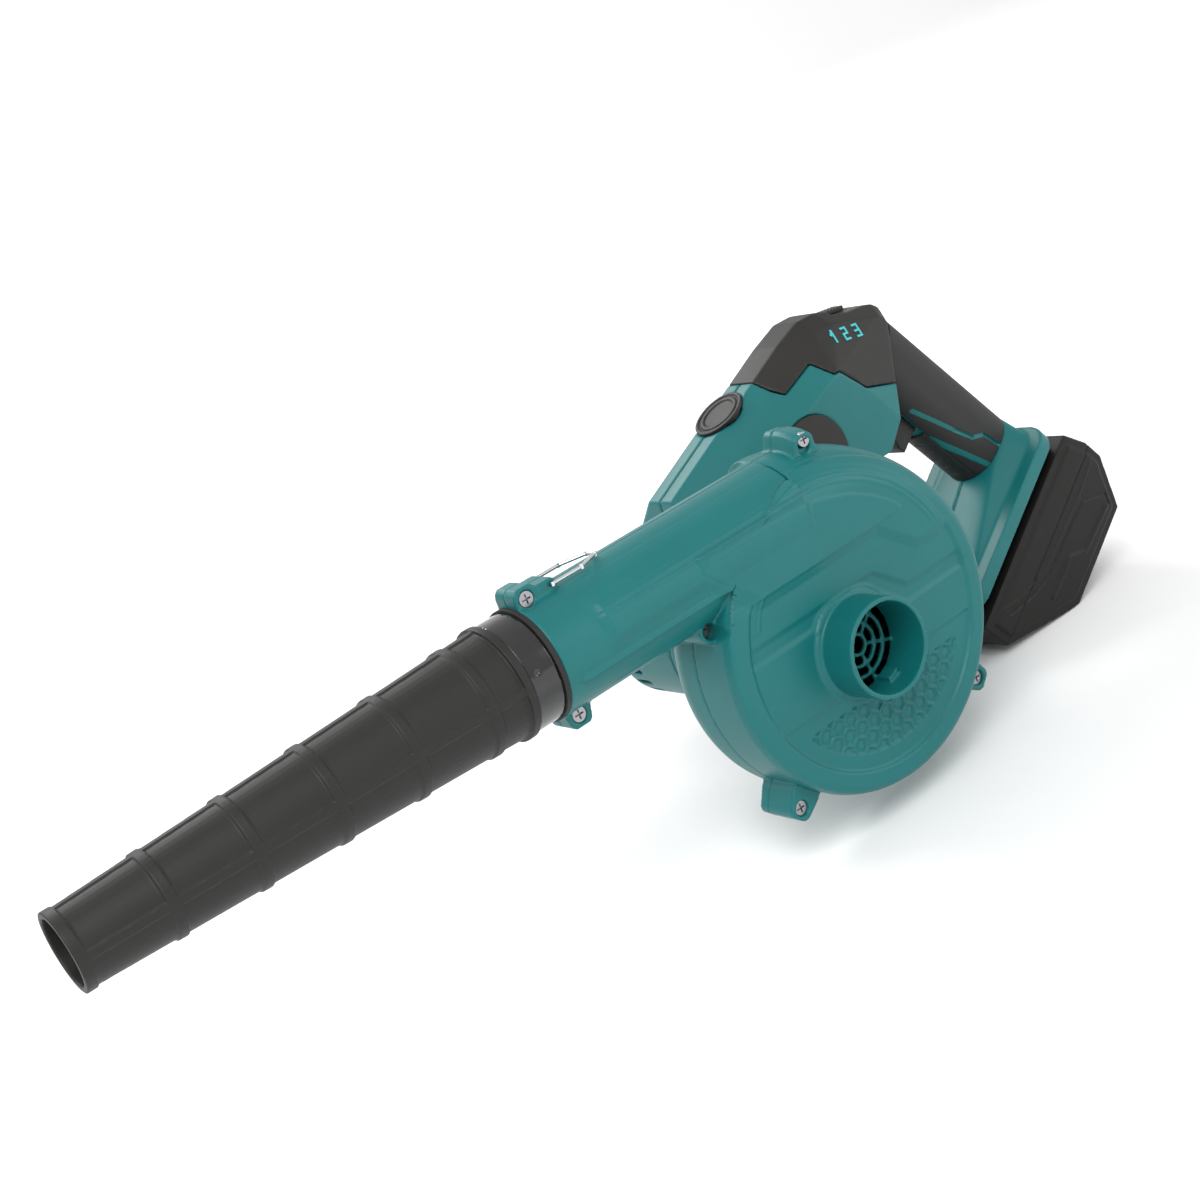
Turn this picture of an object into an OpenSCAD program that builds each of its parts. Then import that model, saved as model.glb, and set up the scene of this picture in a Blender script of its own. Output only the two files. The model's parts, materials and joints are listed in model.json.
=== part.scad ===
// Cordless leaf blower.
// The origin is the centre of the inlet collar's rim, and the fan turns about the Y axis. The blower
// tube runs along -X, the air inlet faces -Y, and the body with the motor stands behind at +Y.

/* [Fan casing] */
// Radius of the scroll wall
scroll_r = 73.7; // [68:0.1:90]
// Scroll centre behind the fan axis, along X
scroll_x = 6.6; // [4:0.1:10]
// Scroll centre above the fan axis
scroll_z = 6; // [3:0.1:9]
// Height of the blower tube's axis above the fan axis
duct_z = 62.3; // [56:0.1:72]
// Outer radius of the blower tube
duct_r = 25; // [22:0.1:30]
// Distance from the fan axis to the tube's mouth
duct_len = 136; // [115:1:165]
// Depth of the cover half, from the meeting plane to its face
cover_depth = 24.5; // [22:0.1:30]
// Depth of the rear half
rear_depth = 25; // [22:0.1:30]
// Wall thickness of the casing
casing_wall = 2.4; // [1.8:0.1:3]
// Rounding of the cover's shoulder
shoulder_r = 4.6; // [3:0.1:7]
// Rounding of the rear half's back edge
back_round = 16; // [10:0.5:18]

/* [Air inlet] */
// Outer radius of the inlet collar
inlet_r = 22; // [19:0.1:26]
// Height of the collar above the cover's face
inlet_h = 19.5; // [14:0.5:26]
// Wall thickness of the collar
inlet_wall = 2.2; // [1.6:0.1:3]
// Depth of the two bayonet notches
notch_d = 12; // [8:0.5:13]
// Angle taken by each bayonet notch
notch_angle = 31; // [24:1:40]

/* [Impeller and motor] */
// Radius of the impeller
impeller_r = 57; // [48:0.5:58]
// Width of the impeller blades
blade_w = 30; // [24:0.5:31]
// Number of impeller blades
blade_count = 11; // [7:1:13]
// Radius of the motor shaft
shaft_r = 2.5; // [2:0.1:3]
// Outer radius of the motor can
motor_r = 21; // [18:0.1:22]
// Length of the motor can
motor_len = 60; // [50:1:64]

/* [Nozzle] */
// Length of the nozzle from its shoulder to its tip
nozzle_len = 191; // [150:1:230]
// Outer radius behind the tip flange
nozzle_tip_r = 15.2; // [12:0.1:18]
// Outer radius at the shoulder
nozzle_base_r = 23.6; // [21:0.1:25]
// Wall thickness of the nozzle
nozzle_wall = 1.8; // [1.4:0.1:2.4]
// Spacing of the ribs around the nozzle
rib_pitch = 34; // [26:1:40]
// Height of the raised ribs
rib_h = 0.8; // [0.5:0.1:1.2]
// Length of the coupling ring that shows
ring_len = 15.2; // [12:0.1:20]

/* [Body] */
// Distance from the casing's back to the body's middle plane
body_off = 47; // [45:0.5:52]
// Half the body's width at its side walls
body_hw = 28; // [25:0.5:32]
// Wall thickness of the body shells
body_wall = 2.4; // [1.8:0.1:3]
// Outer radius of the motor drum
drum_r = 31.3; // [29:0.1:36]
// Length of the motor drum, from the casing's back
drum_len = 98; // [92:1:108]
// Width of the grip from front to back
grip_w = 40; // [36:0.5:46]
// Thickness of the grip from side to side
grip_t = 33; // [30:0.5:38]
// Thickness of the soft grip cover
pad_t = 1.3; // [0.9:0.1:1.8]
// Angle between the foot and the blower tube
foot_tilt = 34.6; // [30:0.1:38]

/* [Battery] */
// Length of the battery along its rails
battery_len = 118; // [112:1:135]
// Width of the battery
battery_w = 72; // [72:0.5:80]
// Height of the battery
battery_h = 61; // [56:0.5:72]
// Radius of one cell
cell_r = 9.1; // [8.5:0.1:9.3]
// Length of one cell
cell_len = 65; // [62:0.5:65]

/* [Controls] */
// Travel of the trigger
trigger_travel = 6; // [4:0.5:7]
// Travel of the speed slider between its end places
slider_travel = 8; // [5:0.5:8]
// Travel of the battery latch
latch_travel = 3; // [2:0.5:3]
// Thickness of the hanging wire
wire_d = 1.6; // [1.2:0.1:2.2]

/* [Fits] */
// Clearance at each side of a running or sliding fit
fit_gap = 0.08; // [0.05:0.01:0.1]
// Space left between separate pieces
gap = 0.3; // [0.25:0.05:0.4]

/* [Hidden] */
$fn = 96;

// Colours
teal = [0.07, 0.45, 0.46];
black = [0.13, 0.13, 0.13];
gloss = [0.05, 0.05, 0.06];
steel = [0.72, 0.73, 0.75];
copper = [0.72, 0.42, 0.24];
board = [0.08, 0.32, 0.16];

// Places along Y, from the collar's rim
rim_y = 0;
face_y = rim_y + inlet_h;
part_y = face_y + cover_depth;
back_y = part_y + rear_depth;
mid_y = back_y + body_off;
drum_end = back_y + drum_len;
near_y = mid_y - body_hw;
far_y = mid_y + body_hw;

// The scroll's upper lobe stands just above the tube and ends in a small step at the scroll's rear
lobe_r = duct_z + duct_r - scroll_z + 0.3;
lobe_x = scroll_x + scroll_r - lobe_r + 0.3;

// Screw places on the casing: x, z, near face, far face
lug_r = 5.2;
lug_reach = scroll_r + 8.6;
lug_top = [lobe_x + (lobe_r + 3.4) * cos(77.5), scroll_z + (lobe_r + 3.4) * sin(77.5)];
lug_rear = [scroll_x + lug_reach * cos(-45), scroll_z + lug_reach * sin(-45)];
lug_low = [scroll_x + lug_reach * cos(-134.5), scroll_z + lug_reach * sin(-134.5)];
lug_tube_top = [-duct_len + 5.6, duct_z + duct_r + 1.2];
lug_tube_low = [-duct_len + 7.5, duct_z - duct_r - 1.2];
// The screw post in the tongue, just below the tube's wall
post_z = duct_z - duct_r + 1.2;
post_x = scroll_x - sqrt(pow(scroll_r, 2) - pow(post_z - scroll_z, 2)) - 2.4;
post_r = 5.5;
lugs = [lug_top, lug_rear, lug_low];
tube_lugs = [lug_tube_top, lug_tube_low];
lug_near = face_y + 9.5;
lug_far = part_y + 6;
tube_lug_half = 7.6;
screw_head_r = 3.2;
screw_r = 1.5;

// The foot's frame is turned about the fan axis, so u runs along the rails and v points up the grip
foot_v = -116;
foot_t = 8;
foot_u0 = 72;
foot_u1 = 178;
grip_u = 161.5;
grip_top_v = -4;
grip_r = grip_t / 2;
grip_half = grip_w / 2 - grip_r;

// Crown line of the barrel, from its nose up to the head, then over the head to the grip
nose = [-6, 71];
crown = [nose, [61, 101], [82, 110.7], [98, 116.5], [109, 116.5], [146, 106.5], [149.5, 103.5],
    [150, 98]];
crown_hw = 9;
// The ridge along each side of the crown
ridge = [[-6.2, 63], [62, 95.4], [84, 104], [100, 109.3], [112, 109.3], [142, 101.5], [146, 96]];
ridge_hw = 16;
// Upper edge of the side walls
side_top = [[-6.4, 52.5], [61.5, 77.3], [96, 89.8], [110, 76], [124, 54]];
// Lower edge of the barrel, inside the web that joins it to the drum
barrel_low = [[112, 42], [20, 40], [-6.4, 46]];
// The joint between the head cap and the body runs down, up and down again
zigzag = [[57, 110], [63.5, 95.5], [68.3, 91], [88, 98.3], [94.5, 89.6], [97.5, 90.1], [110, 76.3],
    [150, 64], [178, 74]];

// The round cap on the barrel's front lies on the crown line
cap_r = 13.5;
crown_angle = atan2(crown[1][1] - nose[1], crown[1][0] - nose[0]);
cap_at = nose + 0.735 * (crown[1] - nose);
// The round cap on the near side wall
side_cap_r = 19.7;
side_cap_at = [67, 59.5];

// The web that joins drum, barrel and foot, and the finger gap between web and grip
web = [[-27, 16], [-6.4, 52.5], [112, 62], [99, 18], [102, -22], [122, -47], [124.5, -55],
    [60, -47], [8, -31]];

// Trigger, in the foot's frame
trigger_u = grip_u - grip_w / 2;
trigger_v0 = -54;
trigger_v1 = -27;
trigger_t = 12;
trigger_out = 11;

// Speed slider on top of the head
slider_at = [130, 109.2];
slider_angle = -7;
slider_l = 13;
slider_w = 8;

// Motor
motor_y0 = back_y + 1.8;
motor_y1 = motor_y0 + motor_len;
bearing_r = 6.5;
bearing_w = 5;
boss_r = 8.6;

// Nozzle and ring along X
mouth_x = -duct_len;
ring_r = duct_r - 1;
ring_bore = duct_r - casing_wall - 2;
ring_in = 12;
shoulder_x = mouth_x - ring_len;
tip_x = shoulder_x - nozzle_len;
plug_len = 11;
plug_r = ring_bore - fit_gap;
bead_r = nozzle_base_r + 1.3;

// Battery, in the foot's frame
battery_v1 = foot_v - gap;
battery_v0 = battery_v1 - battery_h;
battery_u0 = 68;
battery_u1 = battery_u0 + battery_len;
shell_split = battery_v1 - 24;
shell_wall = 2.4;
rail_hw = battery_w / 2 - 9;

// Children drawn in X and Z become a plate from y0 to y1
module plate_y(y0, y1) {
    translate([0, y1, 0]) rotate([90, 0, 0]) linear_extrude(y1 - y0) children();
}

// Children drawn as radius and Y are turned about the Y axis
module turn_y() {
    rotate([-90, 0, 0]) rotate_extrude() children();
}

module rod_y(r, y0, y1) {
    translate([0, y0, 0]) rotate([-90, 0, 0]) cylinder(r = r, h = y1 - y0);
}

module rod_x(r, x0, x1) {
    translate([x0, 0, 0]) rotate([0, 90, 0]) cylinder(r = r, h = x1 - x0);
}

module foot_frame() {
    rotate([0, -foot_tilt, 0]) children();
}

// Half section of a drum with a rounded edge at each end
module drum_section(r, y0, y1, r0, r1) {
    translate([0, y0 + r0]) square([r, y1 - y0 - r0 - r1]);
    translate([0, y0]) square([r - r0, r0]);
    translate([0, y1 - r1]) square([r - r1, r1]);
    intersection() {
        translate([r - r0, y0 + r0]) circle(r = r0);
        square([2 * r, 4 * (y1 - y0)], center = true);
    }
    intersection() {
        translate([r - r1, y1 - r1]) circle(r = r1);
        translate([r - r1, y1 - r1]) square(r1);
    }
}

// The scroll with its upper lobe, taken in by the given amount
module scroll(inset) {
    y0 = face_y + inset;
    y1 = back_y - inset;
    translate([scroll_x, 0, scroll_z])
        turn_y() drum_section(scroll_r - inset, y0, y1, shoulder_r - inset / 2, back_round - inset);
    intersection() {
        translate([lobe_x, 0, scroll_z])
            turn_y() drum_section(lobe_r - inset, y0, y1, shoulder_r - inset / 2, back_round - inset);
        translate([lobe_x + inset, face_y - 1, scroll_z])
            cube([lobe_r + 1, back_y - face_y + 2, lobe_r + 1]);
    }
}

module tube(r, x0, x1) {
    translate([0, part_y, duct_z]) rod_x(r, x0, x1);
}

// A screw lug seen along Y: a block with chamfered corners that widens toward a centre, and stops at
// the tube's mouth
module lug_outline(at, toward) {
    a = atan2(toward[1] - at[1], toward[0] - at[0]);
    intersection() {
        translate([mouth_x, -150]) square([400, 300]);
        translate(at) rotate(a) polygon([[-lug_r, -3.4], [-lug_r, 3.4], [-3.6, lug_r], [lug_r, lug_r + 2.2],
        [lug_r + 6, lug_r + 2.2], [lug_r + 6, -lug_r - 2.2], [lug_r, -lug_r - 2.2], [-3.6, -lug_r]]);
    }
}

// Everything that the two casing halves make together
module casing_body() {
    difference() {
        union() {
            scroll(0);
            tube(duct_r, mouth_x, lobe_x + 1);
            for (p = lugs) plate_y(lug_near, lug_far) lug_outline(p, [scroll_x, scroll_z]);
            for (p = tube_lugs) plate_y(part_y - tube_lug_half, part_y + tube_lug_half)
                lug_outline(p, [p[0], duct_z]);
            bail_ear();
        }
        difference() {
            union() {
                scroll(casing_wall);
                tube(duct_r - casing_wall, mouth_x - 1, lobe_x + casing_wall + 1);
            }
            plate_y(face_y, back_y) translate([post_x, post_z]) circle(r = post_r);
        }
        // clear of the ring's seat and of the lugs' inner ends
        tube(duct_r - casing_wall, mouth_x - 1, lobe_x + casing_wall + 1);
    }
    plate_y(lug_near, back_y - 4) translate([post_x, post_z]) circle(r = post_r);
}

// Stepped hole for a casing screw: head recess, clearance, then a pilot
module screw_hole(at, y_head, y_end) {
    translate([at[0], 0, at[1]]) {
        rod_y(screw_head_r + gap, y_head - 40, y_head + 2.6);
        rod_y(screw_r + 0.2, y_head, part_y + 0.5);
        rod_y(screw_r, part_y, y_end);
    }
}

module screw_holes() {
    for (p = lugs) screw_hole(p, lug_near + 0.2, lug_far - 1.2);
    for (p = tube_lugs) screw_hole(p, part_y - tube_lug_half + 0.2, part_y + tube_lug_half - 1.2);
    screw_hole([post_x, post_z], lug_near + 5, lug_far);
}

module casing_screws() {
    color(steel) {
        for (p = lugs) screw(p, lug_near + 0.2, lug_far - 1.6);
        for (p = tube_lugs) screw(p, part_y - tube_lug_half + 0.2, part_y + tube_lug_half - 1.6);
        screw([post_x, post_z], lug_near + 5, lug_far - 1.6);
    }
}

// Pan-head screw with a cross recess, its head resting at the bottom of the stepped hole
module screw(at, y_head, y_end) {
    translate([at[0], y_head, at[1]]) difference() {
        union() {
            rod_y(screw_head_r, 0.4, 2.6);
            rod_y(screw_r, 2.5, y_end - y_head);
        }
        for (a = [0, 90]) rotate([0, a, 0]) translate([-2.1, 0.3, -0.4]) cube([4.2, 1.4, 0.8]);
    }
}

// Raised panels, grooves and honeycomb on the cover's face
module face_panels() {
    plate_y(face_y - 0.8, face_y + 0.5) {
        intersection() {
            difference() {
                translate([scroll_x, scroll_z]) circle(r = scroll_r - 10.5);
                translate([scroll_x, scroll_z]) circle(r = scroll_r - 12.5);
            }
            translate([-60, -70]) square([150, 98]);
        }
        // upper panel with a slanting front end and a step down at the rear
        intersection() {
            polygon([[-72, 75], [-58, 58], [-41, 38.5], [30, 38.5], [47, 22.5], [62, 22.5], [70, 60],
                [20, 75]]);
            translate([lobe_x, scroll_z]) circle(r = lobe_r - 13.5);
        }
        difference() {
            polygon([[-50, 15.5], [-50, 24], [21, 24], [36, 10.5], [68, 10.5], [68, 2], [36, 2],
                [21, 15.5]]);
            circle(r = inlet_r + 2.4);
        }
    }
}

module honeycomb() {
    hex_r = 3.3;
    pitch = 2 * hex_r * cos(30) + 1;
    row = pitch * cos(30);
    reach = scroll_r - 14.5;
    chord_z = -23.5;
    for (j = [0:5], i = [-7:7]) {
        x = scroll_x + (i + (j % 2) / 2) * pitch;
        z = chord_z - hex_r - j * row;
        if (norm([x - scroll_x, z - scroll_z]) < reach - hex_r && norm([x, z]) > inlet_r + 6)
            translate([x, 0, z]) rotate([0, 30, 0]) rotate([-90, 0, 0])
                translate([0, 0, face_y - 0.01]) cylinder(r = hex_r, h = 0.9, $fn = 6);
    }
}

module inlet_collar() {
    difference() {
        union() {
            rod_y(inlet_r, rim_y, face_y + 1);
            rod_y(inlet_r + 1.9, face_y - 1.4, face_y + 1);
        }
        rod_y(inlet_r - inlet_wall, rim_y - 1, face_y + 4);
        for (a = [0, 180]) rotate([0, a, 0]) intersection() {
            translate([0, rim_y - 1, 0]) cube([3 * inlet_r, notch_d + 1, 3 * inlet_r]);
            rotate([0, -notch_angle, 0]) translate([-3 * inlet_r, rim_y - 1, 0])
                cube([3 * inlet_r, notch_d + 1, 3 * inlet_r]);
        }
    }
    for (a = [0, 180]) rotate([0, a, 0]) intersection() {
        difference() {
            rod_y(inlet_r - inlet_wall + 0.5, rim_y + notch_d - 1, face_y);
            rod_y(inlet_r - inlet_wall - 2.4, rim_y + notch_d - 2, face_y + 1);
        }
        translate([-9, rim_y, 12]) cube([6, inlet_h, 14]);
    }
}

// Rings and spokes that keep fingers out of the fan
module inlet_grille() {
    y0 = face_y + 0.3;
    y1 = y0 + 1.8;
    bore = inlet_r - inlet_wall;
    for (r = [5.4, 10.6, 15.6]) difference() {
        rod_y(r, y0, y1);
        rod_y(r - 1.7, y0 - 1, y1 + 1);
    }
    // the spokes lie a little inside the rings' faces
    for (a = [20:60:320]) rotate([0, a, 0]) translate([4.4, y0 + 0.2, -0.9])
        cube([bore - 3.8, y1 - y0 - 0.4, 1.8]);
}

module fan_cover() {
    color(teal) difference() {
        union() {
            intersection() {
                union() {
                    difference() {
                        casing_body();
                        rod_y(inlet_r - inlet_wall, face_y - 1, face_y + casing_wall + 1);
                    }
                    face_panels();
                }
                translate([-200, face_y - 2, -120]) cube([400, part_y - face_y + 2, 300]);
            }
            inlet_collar();
            inlet_grille();
        }
        screw_holes();
        honeycomb();
        bail_holes();
    }
}

module fan_casing() {
    color(teal) difference() {
        intersection() {
            casing_body();
            translate([-200, part_y, -120]) cube([400, back_y - part_y, 300]);
        }
        screw_holes();
        bail_holes();
        rod_y(boss_r + gap, part_y, back_y + 1);
        for (a = [0:90:270]) rotate([0, a + 45, 0]) translate([12.5, 0, 0])
            rod_y(screw_r + 0.2, part_y, back_y + 1);
        for (a = mount_angles) rotate([0, a, 0]) translate([mount_reach, 0, 0])
            rod_y(screw_r + 0.2, part_y, back_y + 1);
    }
}

// Motor screws pass the casing's back wall into the motor's end
module motor_screws() {
    color(steel) for (a = [0:90:270]) rotate([0, a + 45, 0]) translate([12.5, 0, 0]) {
        rod_y(2.9, back_y - casing_wall - 1.8, back_y - casing_wall);
        rod_y(screw_r, back_y - casing_wall - 0.1, motor_y0 + 2.4);
    }
}

mount_angles = [150, 30, -90];
mount_reach = motor_r + 5;

module body_mount_screws() {
    color(steel) for (a = mount_angles) rotate([0, a, 0]) translate([mount_reach, 0, 0]) {
        rod_y(2.7, back_y - casing_wall - 1.8, back_y - casing_wall);
        rod_y(screw_r, back_y - casing_wall - 0.1, back_y + 9);
    }
}

// Backward-curved blades on a flat back plate
hub_r = 8;
plate_y0 = back_y - casing_wall - 7.6;
module impeller() {
    color(black) difference() {
        union() {
            rod_y(impeller_r, plate_y0, plate_y0 + 2);
            rod_y(hub_r, plate_y0 - 9, plate_y0 + 3.4);
            for (k = [0:blade_count - 1]) rotate([0, k * 360 / blade_count, 0]) blade();
        }
        rod_y(shaft_r + 0.01, plate_y0 - 20, plate_y0 + 10);
    }
}

module blade() {
    bend = 0.62 * impeller_r;
    intersection() {
        plate_y(plate_y0 - blade_w, plate_y0 + 0.5) translate([0.52 * impeller_r, -0.42 * impeller_r])
            difference() {
                circle(r = bend);
                circle(r = bend - 1.6);
                translate([-2 * bend, -2 * bend]) square([4 * bend, 2 * bend]);
            }
        difference() {
            rod_y(impeller_r - 0.8, plate_y0 - blade_w - 1, plate_y0 + 1);
            rod_y(0.36 * impeller_r, plate_y0 - blade_w - 2, plate_y0 + 2);
        }
        translate([0, plate_y0 - blade_w - 1, -impeller_r]) cube([impeller_r, blade_w + 3, 2 * impeller_r]);
    }
}

module impeller_nut() {
    color(steel) difference() {
        union() {
            rod_y(6.2, plate_y0 - 10.1, plate_y0 - 9);
            translate([0, plate_y0 - 14.6, 0]) rotate([-90, 0, 0]) cylinder(r = 5, h = 4.6, $fn = 6);
        }
        rod_y(shaft_r + 0.01, plate_y0 - 20, plate_y0);
    }
}

module motor_can() {
    color(steel) difference() {
        union() {
            rod_y(motor_r, motor_y0, motor_y1);
            rod_y(boss_r, back_y - casing_wall, motor_y0 + 1);
            rod_y(boss_r, motor_y1 - 1, motor_y1 + 4);
        }
        rod_y(motor_r - 1.4, motor_y0 + 2.6, motor_y1 - 2.6);
        rod_y(shaft_r + 0.6, back_y - 10, motor_y1 + 10);
        for (y = bearing_places) rod_y(bearing_r, y, y + bearing_w);
        for (a = [0:90:270]) rotate([0, a + 45, 0]) translate([12.5, 0, 0])
            rod_y(screw_r, motor_y0 - 1, motor_y0 + 2.5);
        for (a = [0:90:270]) rotate([0, a, 0]) translate([9.6, motor_y1 - 3, -2.2]) cube([8, 4, 4.4]);
    }
}
bearing_places = [motor_y0 - 2.2, motor_y1 - 1.8];

module motor_bearings() {
    color(steel) for (y = bearing_places) difference() {
        rod_y(bearing_r - 0.01, y + 0.05, y + bearing_w - 0.05);
        rod_y(shaft_r + 0.02, y - 1, y + bearing_w + 1);
    }
}

module motor_magnets() {
    color([0.3, 0.3, 0.32]) for (a = [0, 180]) rotate([0, a, 0]) intersection() {
        difference() {
            rod_y(motor_r - 1.45, motor_y0 + 8, motor_y1 - 12);
            rod_y(motor_r - 5.4, motor_y0 + 7, motor_y1 - 11);
        }
        rotate([0, 25, 0]) translate([-2 * motor_r, motor_y0, 0])
            cube([4 * motor_r, motor_len, 2 * motor_r]);
        rotate([0, -25, 0]) translate([-2 * motor_r, motor_y0, 0])
            cube([4 * motor_r, motor_len, 2 * motor_r]);
    }
}

module motor_rotor() {
    color(copper) {
        rod_y(shaft_r, plate_y0 - 17, motor_y1 + 6);
        difference() {
            rod_y(motor_r - 6.2, motor_y0 + 12, motor_y1 - 18);
            for (a = [0:40:320]) rotate([0, a, 0]) translate([motor_r - 9.4, motor_y0 + 11, -0.9])
                cube([6, motor_len, 1.8]);
        }
        rod_y(5.2, motor_y1 - 16, motor_y1 - 6);
        rod_y(shaft_r + 1.4, motor_y0 + 5, motor_y1 - 3);
    }
}

// Gloss ring in the tube's mouth that the nozzle plugs into
module coupling_ring() {
    color(gloss) translate([0, part_y, duct_z]) difference() {
        union() {
            rod_x(ring_r, shoulder_x + gap, mouth_x - 2.4);
            rod_x(ring_r - 1.2, mouth_x - 3, mouth_x - 0.1);
            rod_x(duct_r - casing_wall - 0.05, mouth_x - 1, mouth_x + ring_in);
        }
        rod_x(ring_bore, shoulder_x - 1, mouth_x + ring_in + 1);
        translate([shoulder_x + 4.5, -ring_r - 1, 4]) rotate([-90, 0, 0]) cylinder(r = 0.9, h = 2);
    }
}

// Dark rubber bead between the ring and the casing's edge
module ring_seal() {
    color(black) translate([0, part_y, duct_z]) difference() {
        rod_x(duct_r - 0.1, mouth_x - 2.3, mouth_x - 0.1);
        rod_x(ring_r - 1.15, mouth_x - 3, mouth_x);
    }
}

module nozzle() {
    slope = (nozzle_base_r - nozzle_tip_r) / nozzle_len;
    color(black) translate([0, part_y, duct_z]) difference() {
        union() {
            translate([tip_x, 0, 0]) rotate([0, 90, 0])
                cylinder(r1 = nozzle_tip_r, r2 = nozzle_base_r, h = nozzle_len);
            rod_x(nozzle_tip_r + 0.9, tip_x, tip_x + 4.2);
            rod_x(bead_r, shoulder_x - 3.4, shoulder_x);
            rod_x(plug_r, shoulder_x - 1, shoulder_x + plug_len);
            for (k = [1:floor((nozzle_len - 8) / rib_pitch)]) {
                x = tip_x + k * rib_pitch + 1;
                translate([x, 0, 0]) rotate([0, 90, 0])
                    cylinder(r1 = nozzle_tip_r + slope * (x - tip_x) + rib_h,
                        r2 = nozzle_tip_r + slope * (x + 4 - tip_x) + rib_h, h = 4);
            }
            intersection() {
                translate([tip_x, 0, 0]) rotate([0, 90, 0]) cylinder(r1 = nozzle_tip_r + 0.8 * rib_h,
                    r2 = nozzle_base_r + 0.8 * rib_h, h = nozzle_len - 1);
                for (a = [0, 90]) rotate([a, 0, 0])
                    translate([tip_x + 1, -nozzle_base_r - 2, -1.6])
                        cube([nozzle_len - 2, 2 * nozzle_base_r + 4, 3.2]);
            }
        }
        translate([tip_x - 0.01, 0, 0]) rotate([0, 90, 0]) cylinder(r1 = nozzle_tip_r - nozzle_wall,
            r2 = nozzle_base_r - nozzle_wall - 2.4, h = nozzle_len + 0.02);
        rod_x(plug_r - nozzle_wall, shoulder_x - 5, shoulder_x + plug_len + 1);
    }
}

// Steel wire loop that folds down on the tube, pinned in the upper tube lug
bail_x = -duct_len + 18;
bail_z = duct_z + duct_r + wire_d / 2 + 0.9;
bail_hw = tube_lug_half + wire_d / 2 + gap;
bail_len = 26;
bail_points = [[0, -5], [0, -bail_hw], [15, -bail_hw], [bail_len, -3], [bail_len, 3], [15, bail_hw],
    [0, bail_hw], [0, 5]];

module wire_bail() {
    color(steel) translate([bail_x, part_y, bail_z]) {
        for (k = [0:len(bail_points) - 2]) wire_piece(bail_points[k], bail_points[k + 1]);
        for (k = [1:len(bail_points) - 2]) translate([bail_points[k][0], bail_points[k][1], 0])
            cylinder(d = 1.12 * wire_d, h = 1.12 * wire_d, center = true);
    }
}

module wire_piece(a, b) {
    d = b - a;
    translate([a[0], a[1], 0]) {
        rotate([0, 90, atan2(d[1], d[0])]) cylinder(d = wire_d, h = norm(d));
    }
}

// Behind the upper tube lug, a block carries the loop's bent ends
module bail_ear() {
    plate_y(part_y - tube_lug_half + 0.2, part_y + tube_lug_half - 0.2)
        polygon([[bail_x - 14, duct_z + 18], [bail_x - 14, bail_z + 2.4], [bail_x + 1.2, bail_z + 2.4],
            [bail_x + 2.6, bail_z + 1], [bail_x + 3.4, duct_z + 18]]);
}

module bail_holes() {
    translate([bail_x, part_y - tube_lug_half - 1, bail_z]) rotate([-90, 0, 0])
        cylinder(d = wire_d + 2 * fit_gap, h = 2 * tube_lug_half + 2);
}

// Solid form of barrel and head: side walls, ridges and crown
module barrel_form(inset) {
    hull() {
        plate_y(near_y + inset, far_y - inset) offset(delta = -inset) polygon(concat(side_top, barrel_low));
        plate_y(mid_y - ridge_hw + inset / 2, mid_y + ridge_hw - inset / 2)
            offset(delta = -inset) polygon(concat(ridge, barrel_low));
        plate_y(mid_y - crown_hw, mid_y + crown_hw) offset(delta = -inset) polygon(concat(crown, barrel_low));
    }
}

// Region of the head cap, above the zigzag joint
module head_region(shift) {
    plate_y(near_y - 2, far_y + 2) translate([0, shift])
        polygon(concat(zigzag, [[178, 130], [57, 130]]));
}

// Flat for the slider behind the head's crest
module slider_flat() {
    translate([slider_at[0], 0, slider_at[1]]) rotate([0, -slider_angle, 0])
        translate([-13, mid_y - 11, 0]) cube([29, 22, 12]);
}

// Grip outline in the foot's frame, seen down the grip
module grip_outline(inset) {
    translate([grip_u, mid_y]) {
        for (s = [-1, 1]) translate([s * grip_half, 0]) circle(r = grip_r - inset);
        translate([-grip_half, -(grip_r - inset)]) square([2 * grip_half, 2 * (grip_r - inset)]);
    }
}

// Rounded rectangle for the foot and the battery, seen from above in the foot's frame
module foot_outline(u0, u1, half, r) {
    translate([u0 + r, mid_y - half]) square([u1 - u0 - 2 * r, 2 * half]);
    translate([u0, mid_y - half + r]) square([u1 - u0, 2 * half - 2 * r]);
    for (u = [u0 + r, u1 - r], y = [mid_y - half + r, mid_y + half - r]) translate([u, y]) circle(r = r);
}

// Grip, flared neck and foot
module handle_form(inset) {
    foot_frame() {
        translate([0, 0, foot_v + inset * 2.5]) linear_extrude(foot_t - inset * 3.5)
            foot_outline(foot_u0 + inset, foot_u1 - inset, battery_w / 2 - inset, 12);
        translate([0, 0, foot_v + foot_t / 2]) linear_extrude(grip_top_v - foot_v - foot_t / 2 - inset)
            grip_outline(pad_t + inset);
        hull() {
            translate([0, 0, foot_v + foot_t - 1]) linear_extrude(1)
                foot_outline(foot_u0 + 8 + inset, foot_u1 - 3 - inset, battery_w / 2 - 8 - inset, 10,
                    $fn = 32);
            translate([0, 0, foot_v + foot_t + 6 - inset]) linear_extrude(1)
                translate([grip_u, mid_y]) for (s = [-1, 1]) translate([s * grip_half, 0])
                    circle(r = grip_r - inset, $fn = 32);
        }
    }
}

// Drum around the motor, from the casing's back to the rounded far end
module drum_form(inset) {
    turn_y() drum_section(drum_r - inset, back_y + 0.2 + inset, drum_end - inset, 1, 9 - inset);
}

module web_form(inset) {
    plate_y(near_y + 3 + inset, far_y - 3 - inset) offset(delta = -inset) polygon(web);
}

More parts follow.
